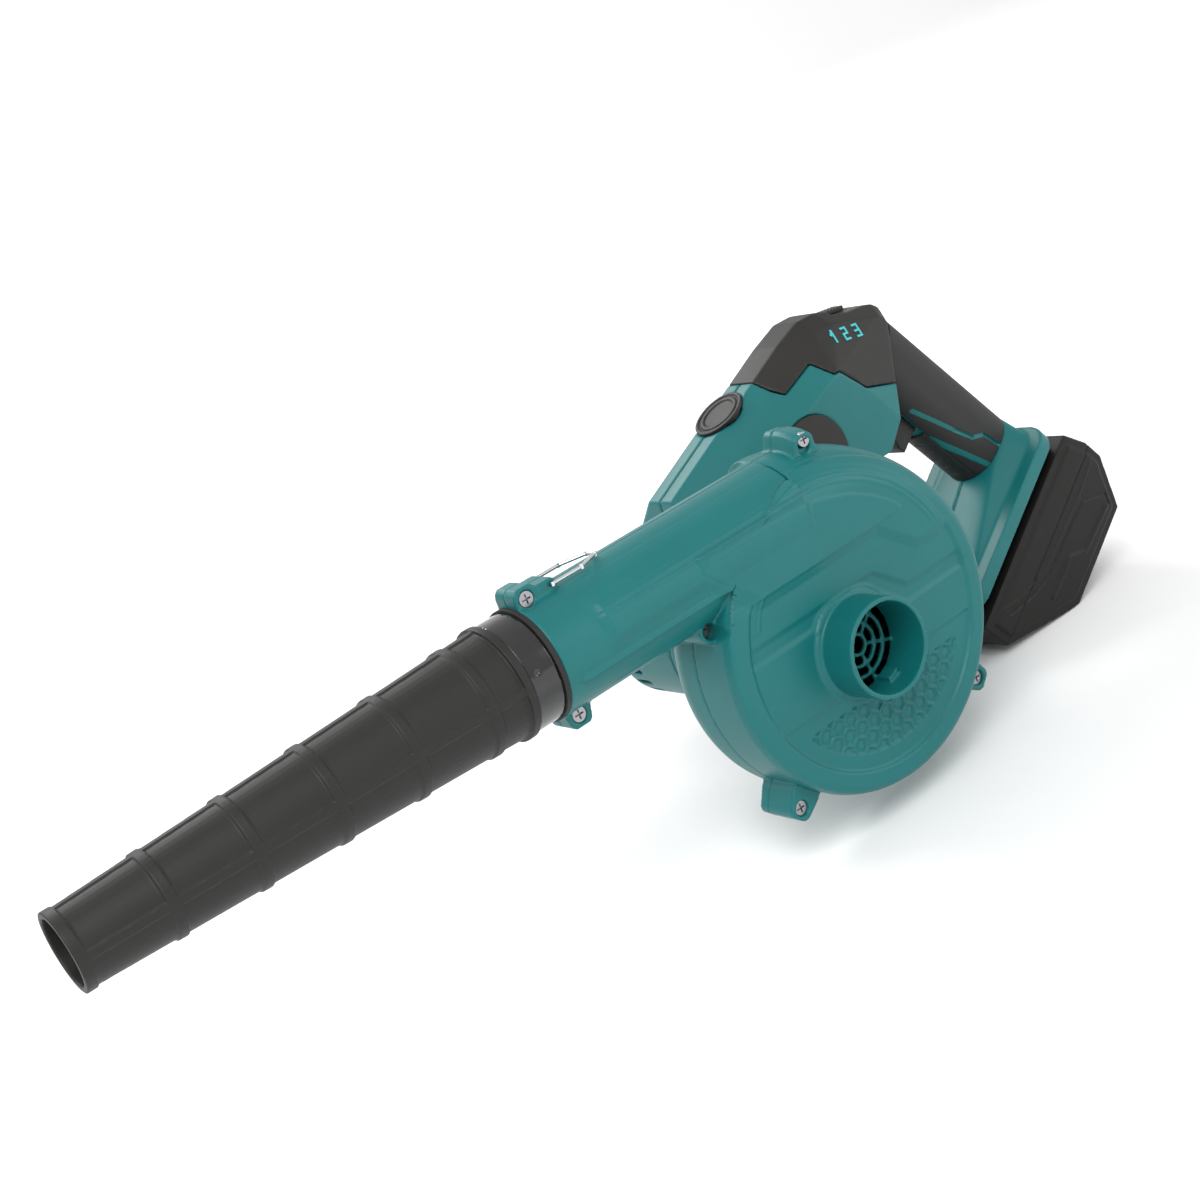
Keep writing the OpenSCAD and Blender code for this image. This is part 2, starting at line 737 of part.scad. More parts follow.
module body_solid() {
    difference() {
        union() {
            difference() {
                barrel_form(0);
                head_region(-gap);
            }
            handle_form(0);
            drum_form(0);
            web_form(0);
        }
        // hollow inside
        difference() {
            union() {
                barrel_form(body_wall);
                web_form(body_wall);
                drum_form(body_wall);
                rod_y(drum_r - body_wall, back_y, back_y + 10);
            }
            motor_ribs();
            screw_posts();
            head_region(-gap - 2);
        }
        handle_channel();
        slot_cuts();
        pad_room();
    }
}

// The soft cover lies in this room around the grip
module pad_room() {
    foot_frame() translate([0, 0, pad_v0 - gap]) linear_extrude(pad_v1 - pad_v0 + 2 * gap) difference() {
        grip_outline(-gap);
        grip_outline(pad_t);
    }
}

module handle_channel() {
    foot_frame() {
        translate([0, 0, foot_v + 1.6]) linear_extrude(grip_top_v - foot_v + 30)
            grip_outline(pad_t + body_wall);
        translate([0, 0, foot_v - 1]) linear_extrude(4.4)
            foot_outline(foot_u0 + 10, foot_u1 + 20, rail_hw + gap, 3);
    }
}

// Rings that hold the motor in the drum
module motor_ribs() {
    for (y = [motor_y0 + 12, motor_y1 - 14]) difference() {
        rod_y(drum_r, y, y + 3);
        rod_y(motor_r + 0.05, y - 1, y + 4);
    }
    for (a = mount_angles) rotate([0, a, 0]) translate([mount_reach, 0, 0])
        difference() {
            rod_y(3.4, back_y + 0.2, back_y + 13);
            rod_y(screw_r, back_y, back_y + 10);
        }
}

body_screw_at = [[6, 60], [40, 66], [100, 70], [60, -36], [104, -44]];
module screw_posts() {
    for (p = body_screw_at) translate([p[0], 0, p[1]]) difference() {
        rod_y(4, near_y, far_y);
        rod_y(screw_r, mid_y - 14, mid_y + 0.1);
        rod_y(screw_r + 0.2, mid_y, far_y + 1);
    }
}

// Openings in the shells: caps, trigger slot, air vents, screw heads on the far side
module slot_cuts() {
    cap_frame() translate([0, 0, -3]) cylinder(r = cap_r - 2 + gap, h = 10);
    cap_frame() translate([0, 0, -0.6]) cylinder(r = cap_r + gap, h = 10);
    translate([side_cap_at[0], 0, side_cap_at[1]]) rod_y(side_cap_r + gap, near_y - 1, near_y + 1.6);
    foot_frame() translate([trigger_u - 6, mid_y - trigger_t / 2 - gap, trigger_v0 - gap])
        cube([22, trigger_t + 2 * gap, trigger_v1 - trigger_v0 + 2 * gap]);
    for (a = [0:30:330]) rotate([0, a, 0]) translate([10, drum_end - 6, -1.5]) cube([13, 10, 3]);
    for (a = [195:15:345]) rotate([0, -a, 0]) translate([drum_r - 5, far_y + 4, -1.4]) cube([10, 11, 2.8]);
    for (p = body_screw_at) translate([p[0], 0, p[1]]) rod_y(screw_head_r + gap, far_y - 9.2, far_y + 3);
}

module body_near() {
    color(teal) intersection() {
        body_solid();
        translate([-60, 0, -140]) cube([340, mid_y - 0.02, 300]);
    }
}

module body_far() {
    color(teal) intersection() {
        body_solid();
        translate([-60, mid_y + 0.02, -140]) cube([340, 90, 300]);
    }
}

// Screws driven from the far side
module body_screws() {
    color(steel) for (p = body_screw_at) translate([p[0], 0, p[1]]) {
        rod_y(screw_head_r, far_y - 9.15, far_y - 6.9);
        rod_y(screw_r, mid_y - 12, far_y - 9);
    }
}

// Black cap over the head, with the slider's flat and slot
module head_cap() {
    color(black) difference() {
        intersection() {
            barrel_form(0);
            head_region(gap / 2);
        }
        difference() {
            barrel_form(body_wall);
            translate([slider_at[0], 0, slider_at[1]]) rotate([0, -slider_angle, 0])
                translate([-15, mid_y - 12, -2.6]) cube([33, 24, 6]);
        }
        slider_flat();
        slider_frame() translate([-1 - gap, -2 - gap, -6])
            cube([5 + slider_travel + 2 * gap, 4 + 2 * gap, 12]);
        foot_frame() translate([0, 0, -70]) linear_extrude(66) grip_outline(-gap);
    }
}

// Frame of the slider: x along its travel, z out of the head
module slider_frame() {
    translate([slider_at[0], mid_y, slider_at[1]])
        rotate([0, -slider_angle, 0]) translate([-6, 0, 0]) children();
}

module speed_slider() {
    color(black) slider_frame() {
        difference() {
            translate([-slider_l / 2 + 2, -slider_w / 2, gap]) cube([slider_l, slider_w, 2.6]);
            for (k = [-2:2]) translate([2 + k * 2.2, 0, 2.9]) rotate([90, 0, 0])
                cylinder(r = 0.6, h = slider_w + 1, center = true);
        }
        translate([-1, -2, -5]) cube([5, 4, 6]);
    }
}

// Board below the head cap that the slider works on
module speed_board() {
    color(board) slider_frame() {
        translate([-9, -8, -7.4]) cube([28, 16, 1.6]);
        translate([-5, -3.6, -5.85]) cube([slider_travel + 12, 7.2, 0.7]);
    }
}

// Raised figures 1, 2 and 3 beside the slider, on the flank below the ridge
digit_at = [[107.6, 104.2], [115.5, 102.6], [123.2, 101.2]];
digit_h = 6.4;
digit_w = 3.6;
stroke = 0.95;
module speed_digits() {
    color(teal) intersection() {
        plate_y(mid_y - 24, mid_y) for (k = [0:2]) translate(digit_at[k]) rotate(slider_angle)
            digit(k + 1);
        difference() {
            barrel_form(-0.45);
            barrel_form(-0.02);
        }
    }
}

module digit(n) {
    translate([-digit_w / 2, -digit_h / 2]) {
        if (n == 1) {
            translate([digit_w / 2, 0]) square([stroke, digit_h]);
            translate([digit_w / 2 + stroke, digit_h - stroke]) rotate(145) square([stroke, 2.6]);
        } else {
            for (z = [0, 0.5, 1]) translate([0, z * (digit_h - stroke)]) square([digit_w, stroke]);
            translate([digit_w - stroke, digit_h / 2]) square([stroke, digit_h / 2]);
            translate([n == 2 ? 0 : digit_w - stroke, 0]) square([stroke, digit_h / 2]);
        }
    }
}

module cap_frame() {
    translate([cap_at[0], mid_y, cap_at[1]]) rotate([0, -crown_angle, 0]) children();
}

// Round black cap on the barrel's front, with ring grooves
module front_cap() {
    color(black) cap_frame() difference() {
        union() {
            translate([0, 0, -2.6]) cylinder(r = cap_r - 2, h = 3);
            translate([0, 0, -0.3]) cylinder(r = cap_r, h = 1.7);
        }
        translate([0, 0, 0.7]) difference() {
            cylinder(r = cap_r - 1.8, h = 2);
            translate([0, 0, -1]) cylinder(r = cap_r - 3, h = 4);
        }
        translate([0, 0, 0.7]) cylinder(r = cap_r - 5, h = 2);
    }
}

// Round black cover let into the near side wall
module side_cap() {
    color(black) translate([side_cap_at[0], 0, side_cap_at[1]])
        rod_y(side_cap_r, near_y - 0.9, near_y + 1.55);
}

module trigger() {
    color(black) foot_frame() translate([0, mid_y - trigger_t / 2, 0]) difference() {
        union() {
            translate([trigger_u - trigger_out, 0, trigger_v0])
                cube([trigger_out + 7, trigger_t, trigger_v1 - trigger_v0]);
        }
        // finger hollow
        translate([trigger_u - trigger_out - 12, -1, (trigger_v0 + trigger_v1) / 2]) rotate([-90, 0, 0])
            cylinder(r = 15, h = trigger_t + 2);
    }
}

// Coil that pushes the trigger out, held between trigger and switch
spring_u = trigger_u + 7.3;
module trigger_spring() {
    color(steel) foot_frame() translate([spring_u, mid_y, (trigger_v0 + trigger_v1) / 2]) rotate([0, 90, 0])
        difference() {
            cylinder(r = 2.6, h = trigger_travel + 1.4);
            translate([0, 0, -1]) cylinder(r = 1.9, h = trigger_travel + 4);
        }
}

module switch_box() {
    color(black) foot_frame() {
        translate([spring_u + trigger_travel + 1.7, mid_y - 7, trigger_v0 - 12]) cube([13, 14, 36]);
        translate([spring_u + trigger_travel + 4, mid_y - 5, trigger_v0 - 18]) cube([2, 10, 6.5]);
    }
}

module control_board() {
    color(board) foot_frame() {
        translate([grip_u - 12, mid_y - 9, foot_v + 14]) cube([1.6, 18, 26]);
        translate([grip_u - 10.3, mid_y - 6, foot_v + 18]) cube([7, 12, 12]);
    }
}

// Blade contacts that hang into the battery's slots
terminal_u = 100;
terminal_y = [-12, -4, 4, 12];
module tool_terminals() {
    color(copper) foot_frame() {
        translate([terminal_u - 2, mid_y - 17, foot_v + 1.6]) cube([22, 34, 1.6]);
        for (y = terminal_y) translate([terminal_u, mid_y + y - 0.4, foot_v - 5.2]) cube([10, 0.8, 7]);
    }
}

// Soft cover of the grip, split like the shells; the grooves show the shell below
pad_v0 = foot_v + foot_t + 7.2;
pad_v1 = -8;
module grip_pad() {
    foot_frame() difference() {
        translate([0, 0, pad_v0]) linear_extrude(pad_v1 - pad_v0) difference() {
            grip_outline(0);
            grip_outline(pad_t);
        }
        // accent grooves on both sides
        for (y = [mid_y - grip_r - 1, mid_y + grip_r - pad_t]) {
            groove([152, -106], [145, -70], y);
            groove([163, -103], [161.5, -88], y);
            groove([161.5, -88], [156, -82], y);
            groove([156, -82], [153, -70], y);
        }
        translate([grip_u - grip_w / 2 - 1, mid_y - trigger_t / 2 - 1.5, trigger_v0 - 2])
            cube([8, trigger_t + 3, 40]);
        front_patch_cut();
    }
}

module front_patch_cut() {
    translate([grip_u - grip_w / 2 - 1, mid_y - 9, pad_v0 - 1]) cube([8, 18, -trigger_v0 - 2 + 70]);
}

module groove(a, b, y) {
    d = b - a;
    translate([a[0], y, a[1]]) rotate([0, -atan2(d[1], d[0]), 0])
        translate([-0.8, 0, -0.8]) cube([norm(d) + 1.6, pad_t + 1, 1.6]);
}

module grip_pad_near() {
    color(black) intersection() {
        grip_pad();
        translate([0, 0, -200]) cube([400, mid_y - 0.1, 400]);
    }
}

module grip_pad_far() {
    color(black) intersection() {
        grip_pad();
        translate([0, mid_y + 0.1, -200]) cube([400, 100, 400]);
    }
}

// Ribbed patch under the fingers
module grip_pad_front() {
    color(black) foot_frame() difference() {
        translate([0, 0, pad_v0]) linear_extrude(trigger_v0 - 4 - pad_v0) intersection() {
            difference() {
                grip_outline(0);
                grip_outline(pad_t);
            }
            translate([grip_u - grip_w / 2 - 1, mid_y - 8.7]) square([7.6, 17.4]);
        }
        for (k = [1:5]) translate([grip_u - grip_w / 2 - 0.7, mid_y - 10, pad_v0 + 7 * k])
            cube([1.2, 20, 1.4]);
    }
}

// Side outline of the battery in the foot's frame, chamfered at both lower corners
module battery_side() {
    polygon([
        [battery_u0, battery_v1 - 6], [battery_u0, battery_v1 - 25],
        [battery_u0 + 38, battery_v0 + 4], [battery_u0 + 44, battery_v0],
        [battery_u1 - 16, battery_v0], [battery_u1, battery_v0 + 26],
        [battery_u1, battery_v1 - 22], [battery_u1 - 5, battery_v1 - 6]
    ]);
}

module battery_form(inset) {
    foot_frame() {
        plate_y(mid_y - battery_w / 2 + 1.2 + inset, mid_y + battery_w / 2 - 1.2 - inset)
            offset(delta = -inset) battery_side();
        plate_y(mid_y - battery_w / 2 + inset, mid_y + battery_w / 2 - inset)
            offset(delta = -inset - 5) battery_side();
    }
}

module above_split(v) {
    foot_frame() translate([0, 0, v]) cube([300, 200, 100]);
}

// Rail block on top of the battery slides under the foot
module battery_top() {
    color(black) difference() {
        union() {
            intersection() {
                battery_form(0);
                above_split(shell_split);
            }
            foot_frame() {
                translate([battery_u0 + 2, mid_y - rail_hw, battery_v1 - 6.5])
                    cube([battery_len - 14, 2 * rail_hw, 6.5]);
                translate([foot_u0 + 14, mid_y - rail_hw + 3, battery_v1 - 1])
                    cube([battery_len - 40, 2 * rail_hw - 6, 2.2]);
            }
        }
        intersection() {
            battery_room();
            foot_frame() translate([0, 0, shell_split - 1]) cube([300, 200, battery_v1 - 8 - shell_split]);
        }
        battery_pillars(1.4, shell_split - 5.5);
        foot_frame() {
            for (y = terminal_y) {
                translate([terminal_u - 40, mid_y + y - 1.1, battery_v1 - 7]) cube([52, 2.2, 12]);
                translate([terminal_u - 6.4, mid_y + y - 1.1, battery_v1 - 12]) cube([12.8, 2.2, 12]);
            }
            latch_room();
        }
    }
}

module latch_room() {
    translate([battery_u1 - 13, mid_y - 11, battery_v1 - 24]) cube([20, 22, 30]);
}

module battery_base() {
    color(black) difference() {
        battery_form(0);
        battery_room();
        above_split(shell_split - 0.02);
        battery_pillars(1.4, shell_split - 5.5);
    }
}

// Screw pillars near the battery's corners, up to the given height above the given level
module battery_pillars(r, v) {
    foot_frame() for (u = [battery_u0 + 9, battery_u1 - 6.8], s = [-1, 1])
        translate([u, mid_y + s * (battery_w / 2 - 7), v]) cylinder(r = r, h = 2 * (shell_split - v));
}

// Inside of the battery, between side walls that hold the cells' ends, and around the screw pillars
module battery_room() {
    difference() {
        foot_frame() plate_y(mid_y - cell_len / 2 - gap, mid_y + cell_len / 2 + gap)
            offset(delta = -shell_wall) battery_side();
        battery_pillars(2.6, shell_split - 20);
    }
}

// Two rows of cells lie across the battery, five above three
cell_pitch = 2 * cell_r + 0.4;
cell_low = battery_v0 + shell_wall + 0.4 + cell_r;
module battery_cells() {
    color([0.2, 0.35, 0.6]) foot_frame() {
        for (i = [0:4]) cell(battery_u0 + 25 + i * cell_pitch, cell_low + cell_pitch);
        for (i = [0:2]) cell(battery_u0 + 48 + i * cell_pitch, cell_low);
    }
}

module cell(u, v) {
    translate([u, mid_y - cell_len / 2, v]) rotate([-90, 0, 0]) cylinder(r = cell_r, h = cell_len);
}

module battery_board() {
    color(board) foot_frame() translate([battery_u0 + 34, mid_y - 24, battery_v1 - 12.4]) cube([62, 48, 1.6]);
}

module battery_terminals() {
    color(copper) foot_frame() for (y = terminal_y, s = [-1, 1])
        translate([terminal_u - 6, mid_y + y + (s > 0 ? 0.46 : -0.96), battery_v1 - 10.8])
            cube([12, 0.5, 6.4]);
}

// Push button and hook at the battery's rear end
module battery_latch() {
    color(gloss) foot_frame() difference() {
        union() {
            translate([battery_u1 - 12, mid_y - 10.6, battery_v1 - 19]) cube([8, 21.2, 13]);
            translate([battery_u1 - 5, mid_y - 9, battery_v1 - 17]) cube([6.4, 18, 9]);
            translate([battery_u1 - 12, mid_y - 6, battery_v1 - 7]) cube([3, 12, 8.4]);
        }
        for (k = [0:2]) translate([battery_u1 + 1, mid_y - 7, battery_v1 - 15.4 + 2.4 * k])
            cube([1, 14, 0.8]);
    }
}

module latch_spring() {
    color(steel) foot_frame() translate([battery_u1 - 8, mid_y, battery_v1 - 23.8]) difference() {
        cylinder(r = 2.4, h = latch_travel + 1.6);
        translate([0, 0, -1]) cylinder(r = 1.7, h = 8);
    }
}

module battery_screws() {
    color(steel) battery_pillars(1.38, shell_split - 5);
}

fan_cover();
fan_casing();
casing_screws();
impeller();
impeller_nut();
motor_can();
motor_magnets();
motor_rotor();
motor_bearings();
motor_screws();
body_mount_screws();
coupling_ring();
ring_seal();
nozzle();
wire_bail();
body_near();
body_far();
body_screws();
head_cap();
speed_slider();
speed_board();
speed_digits();
front_cap();
side_cap();
trigger();
trigger_spring();
switch_box();
control_board();
tool_terminals();
grip_pad_near();
grip_pad_far();
grip_pad_front();
battery_top();
battery_base();
battery_cells();
battery_board();
battery_terminals();
battery_latch();
latch_spring();
battery_screws();
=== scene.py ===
# %% [markdown]
# # A cordless leaf blower, from working model to finished surface
# The working model already has every piece in its real place and size, so this lesson is about
# looks only. Each moulded shell is taken over from the working model and given the soft edges
# that a steel mould leaves, and each finish is built from nodes, without any picture file.
# The steps are: load the pieces, make the tools for shader maths, mix the finishes, soften the
# shells, add the small things that only the eye needs, and then light and frame it.

# %% Load the working model
import json
import math
import bmesh
import bpy
import numpy as np
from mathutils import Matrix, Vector


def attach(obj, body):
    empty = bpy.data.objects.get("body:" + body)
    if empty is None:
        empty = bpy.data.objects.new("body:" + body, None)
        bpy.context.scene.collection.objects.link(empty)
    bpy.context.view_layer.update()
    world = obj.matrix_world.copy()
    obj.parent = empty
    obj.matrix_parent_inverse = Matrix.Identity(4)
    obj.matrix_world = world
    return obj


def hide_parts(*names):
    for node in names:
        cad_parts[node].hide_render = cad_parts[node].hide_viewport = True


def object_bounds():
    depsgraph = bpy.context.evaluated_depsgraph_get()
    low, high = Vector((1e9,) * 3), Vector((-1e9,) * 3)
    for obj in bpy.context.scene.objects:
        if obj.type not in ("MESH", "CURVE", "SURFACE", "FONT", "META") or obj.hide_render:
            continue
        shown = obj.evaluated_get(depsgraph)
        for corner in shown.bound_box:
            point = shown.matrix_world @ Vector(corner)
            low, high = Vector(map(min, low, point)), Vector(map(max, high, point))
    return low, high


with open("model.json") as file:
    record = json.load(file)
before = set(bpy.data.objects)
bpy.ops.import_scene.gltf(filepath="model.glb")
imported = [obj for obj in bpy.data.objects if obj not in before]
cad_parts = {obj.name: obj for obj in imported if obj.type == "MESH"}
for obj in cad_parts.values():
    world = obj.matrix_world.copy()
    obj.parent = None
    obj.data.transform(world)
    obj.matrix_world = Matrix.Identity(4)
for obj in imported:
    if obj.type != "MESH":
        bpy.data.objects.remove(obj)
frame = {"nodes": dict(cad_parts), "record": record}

working_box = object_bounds()
MM = 0.001
nodes = frame["nodes"]

# %% [markdown]
# ## Shader maths that reads like maths
# A finish is mostly arithmetic on numbers that change over the surface. Nodes could be placed
# one by one, but then nobody can read the formula. A small class that wraps a socket and
# overloads the operators lets `1 - mask * 0.3` build its own Math nodes.

# %% A socket that can be used in a formula
class Wire:
    def __init__(self, recipe, socket):
        self.recipe, self.socket = recipe, socket

    def _math(self, operation, *values):
        return self.recipe.add("ShaderNodeMath", {"operation": operation}, dict(enumerate(values)))

    def __add__(self, other):
        return self._math("ADD", self, other)

    def __sub__(self, other):
        return self._math("SUBTRACT", self, other)

    def __rsub__(self, other):
        return self._math("SUBTRACT", other, self)

    def __mul__(self, other):
        return self._math("MULTIPLY", self, other)

    def __gt__(self, other):
        return self._math("GREATER_THAN", self, other)

    def clamp(self, low=0.0, high=1.0):
        return self._math("MINIMUM", self._math("MAXIMUM", self, low), high)

    __radd__ = __add__


# %% A recipe holds one finish and adds its nodes
class Recipe:
    def __init__(self, name):
        self.material = bpy.data.materials.new(name)
        self.material.use_nodes = True
        self.tree = self.material.node_tree
        self.shader = self.tree.nodes["Principled BSDF"]

    def add(self, kind, settings=None, values=None, out=0):
        node = self.tree.nodes.new(kind)
        for key, value in (settings or {}).items():
            if key == "stops":
                ramp = node.color_ramp
                while len(ramp.elements) < len(value):
                    ramp.elements.new(0.5)
                for stop, (place, colour) in zip(ramp.elements, value):
                    stop.position, stop.color = place, (*colour, 1)
            else:
                setattr(node, key, value)
        for key, value in (values or {}).items():
            self.give(node.inputs[key], value)
        return Wire(self, node.outputs[out])

    def give(self, socket, value):
        if isinstance(value, Wire):
            self.tree.links.new(value.socket, socket)
        else:
            socket.default_value = (*value, 1) if socket.type == "RGBA" and len(value) == 3 else value

    def set(self, **values):
        for key, value in values.items():
            self.give(self.shader.inputs[key.replace("_", " ")], value)

    def place(self):
        return self.add("ShaderNodeTexCoord", out="Object")

    def noise(self, size_mm, detail=3.0, at=None):
        """Noise whose lumps are about size_mm wide, from 0 to 1."""
        return self.add("ShaderNodeTexNoise", {"noise_dimensions": "3D"},
                        {"Vector": at or self.place(), "Scale": 1000.0 / size_mm, "Detail": detail})

    def mix(self, factor, first, second):
        node = self.tree.nodes.new("ShaderNodeMix")
        node.data_type = "RGBA"
        self.give(node.inputs[0], factor)
        self.give(node.inputs[6], first)
        self.give(node.inputs[7], second)
        return Wire(self, node.outputs[2])

    def bump(self, height, depth_mm):
        return self.add("ShaderNodeBump", None,
                        {"Height": height, "Distance": depth_mm * MM, "Strength": 1.0})

    def edge(self, radius_mm=0.8):
        """0 on flat places and up to 1 where the surface turns within radius_mm."""
        soft = self.add("ShaderNodeBevel", {"samples": 6}, {"Radius": radius_mm * MM})
        flat = self.add("ShaderNodeNewGeometry", out="Normal")
        dot = self.add("ShaderNodeVectorMath", {"operation": "DOT_PRODUCT"}, {0: soft, 1: flat}, out="Value")
        return ((1 - dot) * 4.0).clamp()


# %% [markdown]
# ## The moulded plastics
# The teal and black shells come out of spark-eroded moulds, so they carry a very fine even
# grain. At arm's length it is too small to see as relief, but it spreads each highlight into
# a satin sheen. A uniform roughness would look like a toy, so the grain drives a little bump,
# broad soft noise moves the colour and the roughness by a few per cent, and edges are a touch
# smoother, where hands and boxes polish them. Every edge is also painted a touch lighter in
# colour, which is a painted highlight.

# %% Grained plastic in any colour
def grained_plastic(name, colour, rough, grain_mm=0.35, grain_depth=0.012, shine=0.28):
    # The second number sets how strong the painted edge highlight is.
    vary, edge_highlight_strength = 0.10, 0.25
    r = Recipe(name)
    grain = r.noise(grain_mm, 2.0)
    cloud = r.noise(28.0, 3.0)
    speck = r.noise(1.6, 2.0)
    edge = r.edge()
    deep = tuple(c * (1 - vary) for c in colour)
    pale = tuple(min(1, c * (1 + vary) + 0.002) for c in colour)
    # The lighter edge colour below is a painted highlight along every edge, not wear.
    painted_edge_highlight = tuple(min(1, c * 1.25 + 0.012) for c in colour)
    base = r.mix((cloud * 0.7 + speck * 0.3).clamp(), deep, pale)
    r.set(Base_Color=r.mix(edge * edge_highlight_strength, base, painted_edge_highlight),
          Roughness=(rough + (cloud - 0.5) * 0.10 + (grain - 0.5) * 0.08 - edge * 0.05).clamp(0.08, 0.95),
          Normal=r.bump(grain, grain_depth))
    r.set(IOR=1.5, Specular_IOR_Level=shine)
    return r.material


teal_plastic = grained_plastic("teal_grained_plastic", (0.003, 0.122, 0.125), 0.40, shine=0.34)
teal_figures_paint = grained_plastic("teal_figure_print", (0.05, 0.42, 0.44), 0.45)
black_plastic = grained_plastic("black_grained_plastic", (0.016, 0.015, 0.014), 0.46,
                                grain_mm=0.5, grain_depth=0.02)
battery_plastic = grained_plastic("battery_grained_plastic", (0.009, 0.0085, 0.008), 0.48,
                                  grain_mm=0.55, grain_depth=0.022, shine=0.2)
nozzle_plastic = grained_plastic("nozzle_grained_plastic", (0.015, 0.015, 0.014), 0.50,
                                 grain_mm=0.4, grain_depth=0.016)
nylon = grained_plastic("impeller_nylon", (0.016, 0.016, 0.017), 0.38, grain_mm=0.8)
print("plastics:", teal_plastic.name, black_plastic.name)

# %% [markdown]
# ## Soft grip rubber, gloss ring, metals and boards
# The grip cover is a soft rubber, duller than the shells and with a coarser matt pebble. The
# ring in the tube's mouth is polished, so it only gets faint turning marks. Metals differ by
# their base colour and by how the tool that cut them left its marks.

# %% Rubber and gloss plastic
def soft_rubber(name, colour, pebble_mm=0.7):
    r = Recipe(name)
    cells = r.add("ShaderNodeTexVoronoi", {"feature": "F1"},
                  {"Vector": r.place(), "Scale": 1000.0 / pebble_mm})
    cloud = r.noise(18.0)
    r.set(Base_Color=r.mix(cloud, tuple(c * 0.8 for c in colour), tuple(c * 1.3 for c in colour)),
          Roughness=(0.62 + (cloud - 0.5) * 0.16).clamp(),
          Normal=r.bump(1 - cells, 0.03))
    r.set(Specular_IOR_Level=0.4)
    return r.material


def polished_plastic(name, colour, rough=0.12):
    r = Recipe(name)
    scuff = r.noise(6.0, 6.0)
    fine = r.noise(0.5, 2.0)
    r.set(Base_Color=r.mix(scuff, colour, tuple(c * 1.8 + 0.002 for c in colour)),
          Roughness=(rough + (scuff > 0.56) * 0.06 + fine * 0.04).clamp(0.03, 0.6),
          Normal=r.bump(scuff, 0.01))
    r.set(Coat_Weight=0.4, Coat_Roughness=0.06)
    return r.material


rubber = soft_rubber("grip_rubber", (0.014, 0.014, 0.014))
seal_rubber = soft_rubber("seal_rubber", (0.010, 0.010, 0.010), 0.4)
gloss_black = polished_plastic("ring_polished_black", (0.006, 0.006, 0.007))

# %% Metals
def metal(name, colour, rough, streak_mm=0.4, stretch=(1, 12, 1), depth=0.01):
    r = Recipe(name)
    at = r.add("ShaderNodeMapping", None, {"Vector": r.place(), "Scale": stretch})
    streak = r.noise(streak_mm, 4.0, at)
    tarnish = r.noise(9.0, 4.0)
    r.set(Base_Color=r.mix((tarnish * 0.6 + streak * 0.4).clamp(), tuple(c * 0.72 for c in colour), colour),
          Roughness=(rough + (streak - 0.5) * 0.2 + (tarnish - 0.5) * 0.1).clamp(0.08, 0.9),
          Normal=r.bump(streak, depth))
    r.set(Metallic=1.0)
    return r.material


screw_steel = metal("zinc_screw_steel", (0.42, 0.42, 0.44), 0.34)
wire_steel = metal("bright_wire_steel", (0.80, 0.80, 0.82), 0.16, depth=0.004)
motor_steel = metal("motor_can_steel", (0.56, 0.57, 0.60), 0.32)
bearing_steel = metal("bearing_steel", (0.66, 0.67, 0.70), 0.2)
spring_steel = metal("spring_steel", (0.5, 0.5, 0.52), 0.3, 0.25)
copper = metal("winding_copper", (0.72, 0.34, 0.16), 0.35, 0.25, (1, 1, 8))
brass = metal("contact_brass", (0.80, 0.60, 0.28), 0.3)
ferrite = metal("magnet_ferrite", (0.10, 0.10, 0.11), 0.6, 0.8, (1, 1, 1))
print("metals:", screw_steel.name, wire_steel.name, copper.name)

# %% Circuit board and cell sleeve
def circuit_board(name):
    r = Recipe(name)
    brick = r.add("ShaderNodeTexBrick", None,
                  {"Vector": r.place(), "Scale": 320.0, "Mortar Size": 0.03}, out="Fac")
    weave = r.noise(0.7)
    mask = r.mix(weave, (0.006, 0.060, 0.022), (0.012, 0.095, 0.035))
    r.set(Base_Color=r.mix(brick, mask, (0.03, 0.20, 0.08)),
          Roughness=(0.32 + weave * 0.12).clamp(), Normal=r.bump(brick, 0.03))
    return r.material


def shrink_sleeve(name, colour):
    r = Recipe(name)
    wrinkle = r.noise(5.0, 5.0)
    r.set(Base_Color=r.mix(wrinkle, tuple(c * 0.7 for c in colour), tuple(c * 1.2 for c in colour)),
          Roughness=(0.25 + wrinkle * 0.15).clamp(), Normal=r.bump(wrinkle, 0.08))
    return r.material


board = circuit_board("green_circuit_board")
sleeve = shrink_sleeve("blue_cell_sleeve", (0.03, 0.12, 0.32))

# %% [markdown]
# ## Which piece gets which finish
# One table keeps the finish of every piece in a single place, so that a changed colour changes
# everywhere at once.

# %% Hand out the finishes
finish_of = {
    teal_plastic: "fan_cover fan_casing body_near body_far",
    teal_figures_paint: "speed_digits",
    black_plastic: "head_cap front_cap side_cap speed_slider trigger switch_box battery_latch",
    battery_plastic: "battery_top battery_base",
    nozzle_plastic: "nozzle",
    nylon: "impeller",
    rubber: "grip_pad_near grip_pad_far grip_pad_front",
    seal_rubber: "ring_seal",
    gloss_black: "coupling_ring",
    screw_steel: "casing_screws motor_screws body_mount_screws body_screws battery_screws",
    wire_steel: "wire_bail impeller_nut",
    motor_steel: "motor_can",
    bearing_steel: "motor_bearings",
    spring_steel: "trigger_spring latch_spring",
    copper: "motor_rotor",
    brass: "tool_terminals battery_terminals",
    ferrite: "motor_magnets",
    board: "speed_board control_board battery_board",
    sleeve: "battery_cells",
}
finish = {name: material for material, names in finish_of.items() for name in names.split()}
body_of = {n: b for b, names in frame["record"]["behaviour"]["bodies"].items() for n in names}
for name, piece in nodes.items():
    piece.data.materials.clear()
    piece.data.materials.append(finish[name])
print("finishes given to", len(finish), "pieces")

# %% [markdown]
# ## Softening the shells
# The working model has knife edges, and nothing that comes out of a mould does. A bevel on each
# edge would be the usual way, but where a grip, a web and a drum run into each other it leaves
# gaps and spikes. Rebuilding the skin as small even squares and letting them relax gives every
# outer edge a small radius and every inner corner a fillet, the way molten plastic does.

